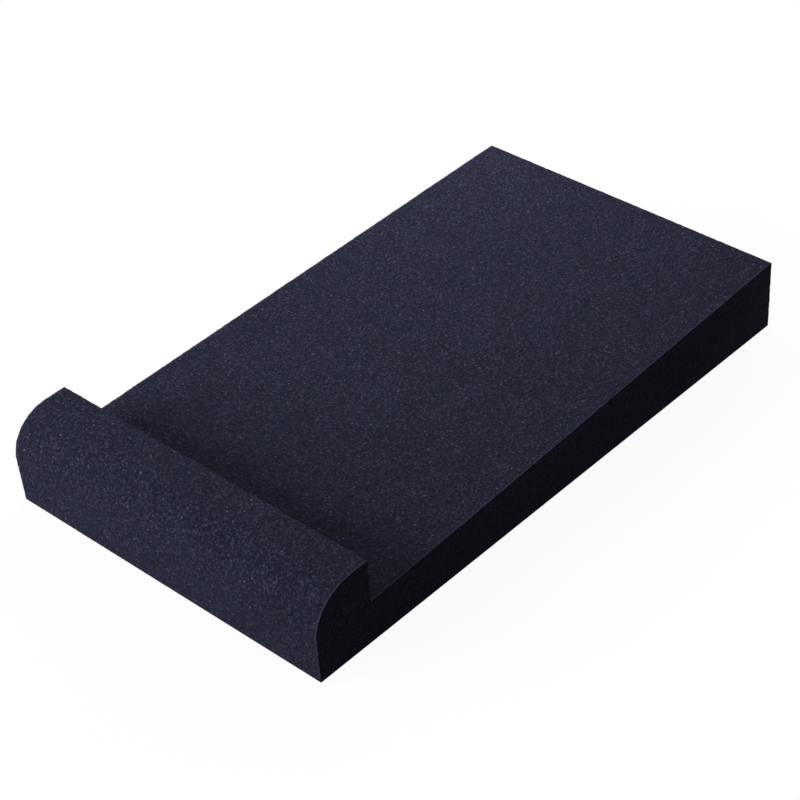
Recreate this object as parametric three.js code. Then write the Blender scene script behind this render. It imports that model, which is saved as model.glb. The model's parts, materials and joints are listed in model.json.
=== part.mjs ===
// Speaker isolation pad: one block of open-cell foam, cut to a wedge profile with a bullnose lip.
//
// A small studio speaker stands on the sloping top, with the lower edge of its front against the lip.
// The pad is cut in one pass: the wire follows the outline through the whole width of the block, so
// every section across X is the same, and the two ends are flat cuts.
//
// Frame: X runs along the lip, Y from the lip to the back, Z up. The origin is on the surface that the
// pad lies on, in the middle of its footprint. Lengths are in millimetres and angles in degrees.

import * as THREE from "three";

// Overall block
const padWidth = 150; // along X, end to end
const baseLength = 294.8; // underside, from the foot of the front face to the foot of the back face

// Sloping top that carries the speaker
const backHeight = 35.4; // underside to the top edge at the back
const topSlope = 3.4; // the top falls towards the lip, and so does the lip's own top
const backLean = 10.4; // the back face leans forward from the vertical

// Lip that stops the speaker from sliding off
const lipHeight = 40; // underside to the lip's rear top edge
const lipThickness = 28.6; // level distance between the lip's front and rear faces, which are parallel
const lipLean = 7.2; // both of those faces lean forward from the vertical

// Rounding that the cut leaves
const noseRadius = 17; // bullnose along the front of the lip
const creaseRadius = 1.2; // inner corner where the top meets the lip, as tight as the wire can turn
const edgeRadius = 0.9; // every other edge along the pad: foam cells give way there
const endEdgeRadius = 0.6; // around the two flat ends, which are parted with a straight knife

// Facets
const arcDivisions = 9; // a rounded corner has twice as many facets
const endEdgeFacets = 3; // across the rounded edge of each end

const foam = new THREE.MeshStandardMaterial({
  name: "charcoal_open_cell_foam",
  color: 0x2b2c3c,
  roughness: 1,
  metalness: 0,
});

const radians = THREE.MathUtils.degToRad;

// The point at a height on a line that leans forward from a point on the underside.
function onLeaningFace(footY, lean, height) {
  return new THREE.Vector2(footY - height * Math.tan(radians(lean)), height);
}

// Where a leaning face from the underside meets a line that climbs backwards at a slope through a point.
function leaningFaceMeetsSlope(footY, lean, through, slope) {
  const rise = Math.tan(radians(slope));
  const run = Math.tan(radians(lean));
  const height = (through.y + rise * (footY - through.x)) / (1 + rise * run);
  return onLeaningFace(footY, lean, height);
}

// The six corners of the section, as if they were sharp, counter-clockwise seen from the right-hand end.
function sectionCorners() {
  const backTopEdge = onLeaningFace(baseLength, backLean, backHeight);
  const lipRearEdge = onLeaningFace(lipThickness, lipLean, lipHeight);
  return [
    { at: new THREE.Vector2(0, 0), radius: edgeRadius },
    { at: new THREE.Vector2(baseLength, 0), radius: edgeRadius },
    { at: backTopEdge, radius: edgeRadius },
    { at: leaningFaceMeetsSlope(lipThickness, lipLean, backTopEdge, topSlope), radius: creaseRadius },
    { at: lipRearEdge, radius: edgeRadius },
    { at: leaningFaceMeetsSlope(0, lipLean, lipRearEdge, topSlope), radius: noseRadius },
  ];
}

// The arc of a radius that touches both sides of a corner: its centre, and its first and last angle.
function cornerArc(before, { at, radius }, after) {
  const back = before.clone().sub(at).normalize();
  const onward = after.clone().sub(at).normalize();
  const halfAngle = Math.acos(THREE.MathUtils.clamp(back.dot(onward), -1, 1)) / 2;
  const toTangent = radius / Math.tan(halfAngle);
  const middle = back.clone().add(onward).normalize();
  const centre = at.clone().addScaledVector(middle, radius / Math.sin(halfAngle));
  const first = at.clone().addScaledVector(back, toTangent).sub(centre).angle();
  const last = at.clone().addScaledVector(onward, toTangent).sub(centre).angle();
  return { centre, radius, first, last, hollow: back.cross(onward) > 0 };
}

// The section as a closed outline: straight cuts joined by an arc at each corner.
function sectionOutline() {
  const corners = sectionCorners();
  const outline = new THREE.Shape();
  corners.forEach((corner, i) => {
    const before = corners.at(i - 1).at;
    const after = corners[(i + 1) % corners.length].at;
    const arc = cornerArc(before, corner, after);
    outline.absarc(arc.centre.x, arc.centre.y, arc.radius, arc.first, arc.last, arc.hollow);
  });
  outline.closePath();
  return outline;
}

// The most forward point of the section is on the nose, ahead of the foot of the front face.
function footprint(outline) {
  const box = new THREE.Box2().setFromPoints(outline.getPoints(arcDivisions));
  return { front: box.min.x, back: box.max.x };
}

// The outline swept across the width, with the edges of its two ends rounded.
function buildPad() {
  const outline = sectionOutline();
  const { front, back } = footprint(outline);
  const geometry = new THREE.ExtrudeGeometry(outline, {
    depth: padWidth - 2 * endEdgeRadius,
    curveSegments: arcDivisions,
    bevelEnabled: true,
    bevelThickness: endEdgeRadius,
    bevelSize: endEdgeRadius,
    bevelOffset: -endEdgeRadius,
    bevelSegments: endEdgeFacets,
  });
  const pad = new THREE.Mesh(geometry, foam);
  pad.name = "foam_pad";
  // The section was drawn with Y to the right and Z up, and swept towards the eye, which is X.
  pad.rotation.set(Math.PI / 2, 0, Math.PI / 2, "ZYX");
  pad.position.set(endEdgeRadius - padWidth / 2, -(front + back) / 2, 0);
  return pad;
}

const isolationPad = new THREE.Group();
isolationPad.name = "speaker_isolation_pad";
isolationPad.add(buildPad());

export default isolationPad;
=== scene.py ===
import json
import math

import bmesh
import bpy
from mathutils import Matrix, Vector


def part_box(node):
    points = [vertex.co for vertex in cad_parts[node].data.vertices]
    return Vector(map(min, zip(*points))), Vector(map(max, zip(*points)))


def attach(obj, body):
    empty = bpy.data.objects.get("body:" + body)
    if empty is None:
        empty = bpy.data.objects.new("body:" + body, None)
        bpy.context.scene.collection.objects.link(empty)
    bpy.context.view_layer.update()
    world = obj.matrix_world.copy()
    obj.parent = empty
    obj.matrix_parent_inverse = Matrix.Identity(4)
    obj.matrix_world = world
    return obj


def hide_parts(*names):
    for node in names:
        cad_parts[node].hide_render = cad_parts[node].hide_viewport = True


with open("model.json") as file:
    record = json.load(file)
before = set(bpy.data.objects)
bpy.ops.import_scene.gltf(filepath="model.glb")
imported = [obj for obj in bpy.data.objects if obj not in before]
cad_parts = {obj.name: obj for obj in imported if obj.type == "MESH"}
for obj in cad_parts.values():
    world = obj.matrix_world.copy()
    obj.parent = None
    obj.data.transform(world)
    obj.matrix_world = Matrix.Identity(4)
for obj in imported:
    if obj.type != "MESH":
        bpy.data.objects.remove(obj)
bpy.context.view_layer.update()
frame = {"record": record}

millimetre = 0.001
slack = 0.02 * millimetre  # how far off a plane a point may be and still count as on it

# The speaker pad is one contour-cut block of open-cell foam: a wedge that a small speaker stands on, and
# a lip across its low end. Sizes that aren't read from the frame were fitted to the photograph.

# Frame

record = frame["record"]
mounts = {mount["name"]: mount for mount in record["mounts"]}
padLow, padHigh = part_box("foam_pad")


def mountPlane(name):
    return Vector(mounts[name]["pos_m"]), Vector(mounts[name]["axis"])


# Pad: values a user may change, lengths in mm and angles in degrees

padShape = {
    "noseRadius": 17.0,       # bullnose along the front of the lip
    "noseFacets": 20,
    "lipTopSlope": 3.4,       # the lip's top falls forward
    "lipRaise": 0.5,          # fitted: brings the drawn rear top edge nearer to the photograph's
    "backLean": 10.4,         # the back face leans forward
    "creaseRadius": 1.2,      # inner corner between the top and the lip, a guess
    "edgeRadius": 0.35,       # less than the solid's, because the photograph's edges look sharper
    "edgeFacets": 3,
    "spareLength": 12.0,      # block beyond the finished pad, cut away
    "meshSpacing": 1.25,      # of the cut faces
}

padSurface = {
    # Guesses, small enough to leave the outline where it is
    "wanderLength": 60.0,     # slow unevenness of the cut faces
    "wanderDepth": 0.12,
    "pitSize": 1.9,           # fine unevenness
    "pitDepth": 0.42,
    "restingHeight": 0.7,     # below this the pad stays flat, where it lies on the floor
}

foamCells = {
    # Sizes in mm. The grain and the colours were fitted to the photograph, which shows the cells at
    # about one pixel each, so the size of the real cells isn't known.
    "cellSize": 1.3,
    "knotFade": (0.1, 0.7),        # shares of a cell, where the pale knot ends and the pore begins
    "stubSize": 0.9,               # stubs of cut struts
    "stubFade": (0.3, 0.75),
    "stubShare": 0.55,             # of the pattern, the rest is the cells
    "relief": 0.18,                # how far the struts stand above the pores
    "paleness": 2.0,               # above 1 the pale struts take up less of the surface than the pores
    "glintSpacing": 2.6,           # spacing between painted glints, pale spots where struts would catch the light
    "glintSize": 0.32,
    "glintRarity": 2.5,            # bright painted glints are rare
    "blotchSize": 16.0,            # slow drift in brightness
    "blotchDepth": 0.08,
    "rimHighlightSharpness": 3.0,           # how quickly the painted rim highlight fades
    # the pores' dark colour is painted shade in the holes; the pattern of the cells is the foam's grain
    "shadedPoreColour": "#191b29",
    "coolStrutColour": "#37405b",  # two hues give the photograph's spread of hue, which may be
    "warmStrutColour": "#4a3f55",  # the camera's noise
    # colour of the painted glints
    "paintedGlintColour": "#6c6c7a",
    "paintedRimHighlightColour": "#363a4e",        # painted highlight: faint pale line along the rims of the two ends
    "roughness": 0.95,
    "specular": 0.08,
}


def deselectAll():
    if bpy.context.object and bpy.context.object.mode == "EDIT":
        bpy.ops.mesh.select_all(action="DESELECT")
        return
    for thing in list(bpy.context.selected_objects):
        thing.select_set(False)


def pick(kind, wanted):
    deselectAll()
    mesh = bmesh.from_edit_mesh(bpy.context.object.data)
    for element in getattr(mesh, kind):
        if wanted(element):
            element.select_set(True)
    bmesh.update_edit_mesh(bpy.context.object.data)


def crossSlice(point, outward):
    bpy.ops.mesh.select_all(action="SELECT")
    bpy.ops.mesh.bisect(plane_co=point, plane_no=outward)


def cutOff(point, outward):
    bpy.ops.mesh.select_all(action="SELECT")
    bpy.ops.mesh.bisect(plane_co=point, plane_no=outward, use_fill=True, clear_outer=True)


def tiltedPlane(point, lean):
    # An upright plane across the pad that leans forward by an angle in radians
    return point, Vector((0, math.cos(lean), math.sin(lean)))


def liesOn(edge, planes):
    return all(abs((vertex.co - point).dot(normal)) < slack
               for vertex in edge.verts for point, normal in planes)


def roundEdges(planes, radius, interiorAngle, facets):
    pick("edges", lambda edge: liesOn(edge, planes))
    bpy.ops.mesh.bevel(offset=radius / math.tan(interiorAngle / 2), offset_type="OFFSET", segments=facets,
                       profile=0.5, affect="EDGES", clamp_overlap=False)


def cutBlock():
    seat = mountPlane("speaker_seat")
    lipRear = mountPlane("lip_stop")
    base = mountPlane("base")
    spare = padShape["spareLength"] * millimetre
    nose = padShape["noseRadius"] * millimetre
    edgeRadius = padShape["edgeRadius"] * millimetre
    lipLean = math.atan2(lipRear[1].z, lipRear[1].y)
    lipSlope = math.radians(padShape["lipTopSlope"])

    # Block: longer than the pad, up to the height of the lip
    deselectAll()
    low = padLow - Vector((0, spare, 0))
    high = padHigh + Vector((0, spare, spare))
    bpy.ops.mesh.primitive_cube_add(size=1, location=(low + high) / 2)
    block = bpy.context.object
    block.name = "foam_block"
    bpy.ops.transform.resize(value=tuple(high - low))
    bpy.ops.object.transform_apply(location=True, rotation=True, scale=True)
    bpy.ops.object.mode_set(mode="EDIT")

    # Wedge: the sloping top, the back face and the front face
    back = tiltedPlane(Vector((0, padHigh.y, 0)), math.radians(padShape["backLean"]))
    noseHeight = padHigh.z - nose / math.cos(lipSlope)
    noseTouch = Vector((0, padLow.y + nose * (1 - math.cos(lipLean)),
                        noseHeight - nose * math.sin(lipLean)))
    front = noseTouch, -lipRear[1]
    for plane in (seat, back, front):
        cutOff(*plane)

    # Lip: the strip in front of its rear face is drawn up along the lean, then its top is cut
    crossSlice(*lipRear)
    sameWay = 0.99
    pick("faces", lambda face: face.normal.dot(seat[1]) > sameWay
         and (face.calc_center_median() - lipRear[0]).dot(lipRear[1]) < 0)
    upTheLean = Vector((0, -math.tan(lipLean), 1))
    bpy.ops.mesh.extrude_region_move(TRANSFORM_OT_translate={"value": tuple(upTheLean * high.z)})
    lipHeight = padHigh.z + padShape["lipRaise"] * millimetre
    lipRearTop = lipRear[0] + upTheLean * (lipHeight - lipRear[0].z)
    lipTop = lipRearTop, Vector((0, -math.sin(lipSlope), math.cos(lipSlope)))
    cutOff(*lipTop)

    # Rounded corners of the outline, then the rims of the two ends
    square = math.pi / 2
    facets = padShape["edgeFacets"]
    roundEdges((front, lipTop), nose, square - lipLean + lipSlope, padShape["noseFacets"])
    roundEdges((lipRear, seat), padShape["creaseRadius"] * millimetre, square, facets)
    for corner in ((lipTop, lipRear), (seat, back), (base, back), (base, front)):
        roundEdges(corner, edgeRadius, square, facets)
    for x in (padLow.x, padHigh.x):
        end = Vector((x, 0, 0)), Vector((1, 0, 0))
        roundEdges((end,), edgeRadius, square, facets)
    return block, (front, lipRear, back, lipLean)


def meshFaces(planes):
    # The cut faces get an even mesh: upright slices that turn from the lip's lean to the back's,
    # level slices, and last the cuts across the width, all at once
    front, lipRear, back, lipLean = planes
    spacing = padShape["meshSpacing"] * millimetre
    frontFoot = front[0].y + front[0].z * math.tan(lipLean)
    rearFoot = lipRear[0].y + lipRear[0].z * math.tan(lipLean)
    backFoot = back[0].y
    backLean = math.radians(padShape["backLean"])
    for startFoot, endFoot, startLean, endLean in ((frontFoot, rearFoot, lipLean, lipLean),
                                                   (rearFoot, backFoot, lipLean, backLean)):
        count = round((endFoot - startFoot) / spacing)
        slices = count if endFoot < backFoot else count - 1  # none along the back face itself
        for i in range(1, slices + 1):
            share = i / count
            foot = Vector((0, startFoot + (endFoot - startFoot) * share, 0))
            crossSlice(*tiltedPlane(foot, startLean + (endLean - startLean) * share))
    levels = round(padHigh.z / spacing)
    for i in range(1, levels):
        crossSlice(Vector((0, 0, padHigh.z * i / levels)), Vector((0, 0, 1)))
    width = padHigh.x - padLow.x
    pick("edges", lambda edge: abs(edge.verts[0].co.x - edge.verts[1].co.x) > width / 2)
    bpy.ops.mesh.subdivide(number_cuts=round(width / spacing) - 1)
    bpy.ops.mesh.select_all(action="SELECT")
    bpy.ops.mesh.normals_make_consistent(inside=False)


def markRimHighlight(piece):
    # Marks the rims of the two ends, the rounded bands without the flat ends, where the material paints a pale
    # highlight
    width = padShape["edgeRadius"] * millimetre
    rimMask = piece.data.attributes.new("endRim", "FLOAT", "POINT")
    for vertex in piece.data.vertices:
        depth = padHigh.x - abs(vertex.co.x)
        rimMask.data[vertex.index].value = float(slack < depth < width + slack)


def pressIn(piece, name, size, depth, octaves, group):
    texture = bpy.data.textures.new(name, "CLOUDS")
    texture.noise_scale = size * millimetre
    texture.noise_depth = octaves
    press = piece.modifiers.new(name, "DISPLACE")
    press.texture = texture
    press.texture_coords = "LOCAL"
    press.mid_level = 0.5
    press.strength = depth * millimetre
    press.vertex_group = group
    bpy.context.view_layer.objects.active = piece
    bpy.ops.object.modifier_apply(modifier=name)


def roughen(piece):
    # Every face but the underside, which lies flat
    raised = piece.vertex_groups.new(name="raised")
    resting = padSurface["restingHeight"] * millimetre
    pick("verts", lambda vertex: vertex.co.z > resting)
    bpy.ops.object.vertex_group_assign()
    bpy.ops.object.mode_set(mode="OBJECT")
    markRimHighlight(piece)
    pressIn(piece, "wireWander", padSurface["wanderLength"], padSurface["wanderDepth"], 1, raised.name)
    pressIn(piece, "openCells", padSurface["pitSize"], padSurface["pitDepth"], 3, raised.name)
    deselectAll()
    piece.select_set(True)
    bpy.ops.object.shade_smooth()
    deselectAll()


def linearColour(sheet):
    channels = [int(sheet[i:i + 2], 16) / 255 for i in (1, 3, 5)]
    return tuple(c / 12.92 if c <= 0.04045 else ((c + 0.055) / 1.055) ** 2.4 for c in channels) + (1.0,)


def addNode(tree, kind, settings, inputs):
    node = tree.nodes.new(kind)
    for name, value in settings.items():
        setattr(node, name, value)
    for name, value in inputs.items():
        if isinstance(value, bpy.types.NodeSocket):
            tree.links.new(value, node.inputs[name])
        else:
            node.inputs[name].default_value = value
    return node


def newMaterial(name):
    material = bpy.data.materials.new(name)
    material.use_nodes = True
    material.node_tree.nodes.clear()
    return material, material.node_tree


def mixColours(tree, share, first, second):
    mix = addNode(tree, "ShaderNodeMix", {"data_type": "RGBA"}, {})
    tree.links.new(share, mix.inputs[0])
    for slot, colour in ((6, first), (7, second)):
        if isinstance(colour, bpy.types.NodeSocket):
            tree.links.new(colour, mix.inputs[slot])
        else:
            mix.inputs[slot].default_value = colour
    return mix.outputs[2]


def calculate(tree, operation, first, second):
    return addNode(tree, "ShaderNodeMath", {"operation": operation}, {0: first, 1: second}).outputs[0]


def mapRange(tree, value, span, ends=(0.0, 1.0), smooth=True):
    limits = {"Value": value, "From Min": span[0], "From Max": span[1], "To Min": ends[0], "To Max": ends[1]}
    kind = "SMOOTHSTEP" if smooth else "LINEAR"
    return addNode(tree, "ShaderNodeMapRange", {"interpolation_type": kind}, limits).outputs["Result"]


def perMetre(size):
    return 1 / (size * millimetre)


def openCellFoam():
    # Matt foam with its cells cut open: pale knots where the struts join, and pores between, painted dark as
    # the shade in the holes
    material, tree = newMaterial("charcoalOpenCellFoam")
    place = addNode(tree, "ShaderNodeTexCoord", {}, {}).outputs["Object"]
    cells = addNode(tree, "ShaderNodeTexVoronoi", {"feature": "F1"},
                    {"Vector": place, "Scale": perMetre(foamCells["cellSize"])})
    knot = mapRange(tree, cells.outputs["Distance"], foamCells["knotFade"], (1.0, 0.0))
    stubs = addNode(tree, "ShaderNodeTexNoise", {},
                    {"Vector": place, "Scale": perMetre(foamCells["stubSize"]), "Detail": 1.0})
    stub = mapRange(tree, stubs.outputs["Fac"], foamCells["stubFade"])
    height = addNode(tree, "ShaderNodeMix", {"data_type": "FLOAT"},
                     {0: foamCells["stubShare"], 2: knot, 3: stub}).outputs[0]
    paleness = calculate(tree, "POWER", height, foamCells["paleness"])
    warmth = addNode(tree, "ShaderNodeSeparateColor", {}, {"Color": cells.outputs["Color"]}).outputs[1]
    strut = mixColours(tree, warmth, linearColour(foamCells["coolStrutColour"]),
                       linearColour(foamCells["warmStrutColour"]))
    # Pores get painted shade, struts the foam's own colour
    colour = mixColours(tree, paleness, linearColour(foamCells["shadedPoreColour"]), strut)

    # Painted glints: a few pale spots in the base colour where struts lying flat would catch the light
    glintCells = addNode(tree, "ShaderNodeTexVoronoi", {"feature": "F1"},
                     {"Vector": place, "Scale": perMetre(foamCells["glintSpacing"])})
    chance = addNode(tree, "ShaderNodeSeparateColor", {}, {"Color": glintCells.outputs["Color"]}).outputs[0]
    gleam = calculate(tree, "POWER", chance, foamCells["glintRarity"])
    edge = foamCells["glintSize"] / foamCells["glintSpacing"]
    paintedGlint = mapRange(tree, glintCells.outputs["Distance"], (edge * 0.5, edge * 1.5), (gleam, 0.0))
    colour = mixColours(tree, paintedGlint, colour, linearColour(foamCells["paintedGlintColour"]))

    # Painted highlight: the rims of the two ends are lightened in the base colour
    paintedRim = addNode(tree, "ShaderNodeAttribute", {"attribute_name": "endRim"}, {}).outputs["Fac"]
    paintedRim = calculate(tree, "POWER", paintedRim, foamCells["rimHighlightSharpness"])
    colour = mixColours(tree, paintedRim, colour, linearColour(foamCells["paintedRimHighlightColour"]))

    blotch = addNode(tree, "ShaderNodeTexNoise", {},
                     {"Vector": place, "Scale": perMetre(foamCells["blotchSize"]), "Detail": 3.0})
    depth = foamCells["blotchDepth"]
    drift = mapRange(tree, blotch.outputs["Fac"], (0.3, 0.7), (1 - depth, 1 + depth), smooth=False)
    colour = addNode(tree, "ShaderNodeVectorMath", {"operation": "SCALE"},
                     {0: colour, "Scale": drift}).outputs[0]
    relief = addNode(tree, "ShaderNodeBump", {},
                     {"Height": height, "Strength": 1.0, "Distance": foamCells["relief"] * millimetre})
    surface = addNode(tree, "ShaderNodeBsdfPrincipled", {},
                      {"Base Color": colour, "Normal": relief.outputs["Normal"],
                       "Roughness": foamCells["roughness"], "Specular IOR Level": foamCells["specular"]})
    addNode(tree, "ShaderNodeOutputMaterial", {}, {"Surface": surface.outputs[0]})
    return material


pad, cutPlanes = cutBlock()
print("pad: block cut to shape")
meshFaces(cutPlanes)
roughen(pad)
pad.data.materials.clear()
pad.data.materials.append(openCellFoam())
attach(pad, "root")
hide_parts("foam_pad")
print("pad: surface made,", len(pad.data.polygons), "faces")


# Studio

studio = {
    "floorSize": 6.0,             # m
    "floorColour": "#ffffff",
    "bounceColour": "#747474",    # the foam sees a greyer floor than the eye does
    "shadowShare": 0.05,          # how much of the pad's shadow the eye sees
    "shadowReach": (0.12, 0.20),  # m from the pad's middle, across and along
    "shadowFade": (0.8, 1.4),     # shares of that reach over which the shadow fades out
    "backdropColour": "#ffffff",
    "ambient": 0.02,
}

lamps = {
    # name: direction and height seen from the pad in degrees, distance and width in m, power in W
    # Directions run counter-clockwise from the right-hand side. All values were fitted to the
    # photograph's tones, so they aren't a record of how it was lit.
    "key, front left": {"direction": 245, "height": 22, "distance": 0.75, "width": 0.32, "power": 5.2},
    "fill, back left": {"direction": 135, "height": 45, "distance": 0.45, "width": 0.20, "power": 1.7},
}


def addLamps():
    target = Vector((0, 0, padHigh.z / 2))
    for name, lamp in lamps.items():
        direction = math.radians(lamp["direction"])
        height = math.radians(lamp["height"])
        away = Vector((math.cos(direction) * math.cos(height), math.sin(direction) * math.cos(height),
                       math.sin(height)))
        deselectAll()
        bpy.ops.object.light_add(type="AREA", location=away * lamp["distance"])
        light = bpy.context.object
        light.name = name
        light.rotation_euler = (target - light.location).to_track_quat("-Z", "Y").to_euler()
        light.data.shape = "SQUARE"
        light.data.size = lamp["width"]
        light.data.energy = lamp["power"]


def seenDirectly(tree):
    # 1 for what the eye sees, also through glass or in a mirror, and 0 for light on its way to the foam
    path = addNode(tree, "ShaderNodeLightPath", {}, {})
    seen = calculate(tree, "MAXIMUM", path.outputs["Is Camera Ray"], path.outputs["Is Glossy Ray"])
    return calculate(tree, "MAXIMUM", seen, path.outputs["Is Transmission Ray"])


def floorMaterial():
    # Matt paper sweep, shown to the eye as white with only a trace of the pad's shadow
    material, tree = newMaterial("paperSweep")
    white = linearColour(studio["floorColour"])
    glow = addNode(tree, "ShaderNodeEmission", {}, {"Color": white, "Strength": 1.0})
    lit = addNode(tree, "ShaderNodeBsdfDiffuse", {}, {"Color": white})
    bounce = addNode(tree, "ShaderNodeBsdfDiffuse", {}, {"Color": linearColour(studio["bounceColour"])})
    across, along = studio["shadowReach"]
    place = addNode(tree, "ShaderNodeTexCoord", {}, {}).outputs["Object"]
    reach = addNode(tree, "ShaderNodeVectorMath", {"operation": "DIVIDE"}, {0: place, 1: (across, along, 1.0)})
    reach = addNode(tree, "ShaderNodeVectorMath", {"operation": "LENGTH"}, {0: reach.outputs[0]})
    whiteness = mapRange(tree, reach.outputs["Value"], studio["shadowFade"], (1 - studio["shadowShare"], 1.0))
    paper = addNode(tree, "ShaderNodeMixShader", {}, {0: whiteness, 1: lit.outputs[0], 2: glow.outputs[0]})
    either = addNode(tree, "ShaderNodeMixShader", {},
                     {0: seenDirectly(tree), 1: bounce.outputs[0], 2: paper.outputs[0]})
    addNode(tree, "ShaderNodeOutputMaterial", {}, {"Surface": either.outputs[0]})
    return material


def addFloor():
    deselectAll()
    bpy.ops.mesh.primitive_plane_add(size=studio["floorSize"], location=(0, 0, 0))
    floor = bpy.context.object
    floor.name = "paper_sweep"
    floor.data.materials.append(floorMaterial())


def addBackdrop():
    world = bpy.data.worlds.new("backdrop")
    bpy.context.scene.world = world
    world.use_nodes = True
    tree = world.node_tree
    tree.nodes.clear()
    strength = mapRange(tree, seenDirectly(tree), (0.0, 1.0), (studio["ambient"], 1.0), smooth=False)
    shine = addNode(tree, "ShaderNodeBackground", {},
                    {"Color": linearColour(studio["backdropColour"]), "Strength": strength})
    addNode(tree, "ShaderNodeOutputWorld", {}, {"Surface": shine.outputs[0]})


addFloor()
addBackdrop()
addLamps()
print("studio: floor, backdrop and", len(lamps), "lamps")


# Camera: a long lens, above the pad's front right corner, fitted to the pad's edges in the photograph

camera = {
    "place": (400.3, -519.7, 485.7),   # mm
    "heading": 38.335,                 # degrees left of straight towards the back
    "downTilt": 36.315,
    "roll": 2.179,
    "lens": 89.974,                     # mm on a 36 mm sensor
}


def addCamera():
    deselectAll()
    bpy.ops.object.camera_add()
    eye = bpy.context.object
    eye.name = "camera"
    eye.data.sensor_width = 36
    eye.data.lens = camera["lens"]
    turn = (Matrix.Rotation(math.radians(camera["heading"]), 4, "Z")
            @ Matrix.Rotation(math.radians(90 - camera["downTilt"]), 4, "X")
            @ Matrix.Rotation(math.radians(camera["roll"]), 4, "Z"))
    eye.matrix_world = Matrix.Translation(Vector(camera["place"]) * millimetre) @ turn
    bpy.context.scene.camera = eye


addCamera()
bpy.context.scene.view_settings.view_transform = "Standard"
print("camera: set")
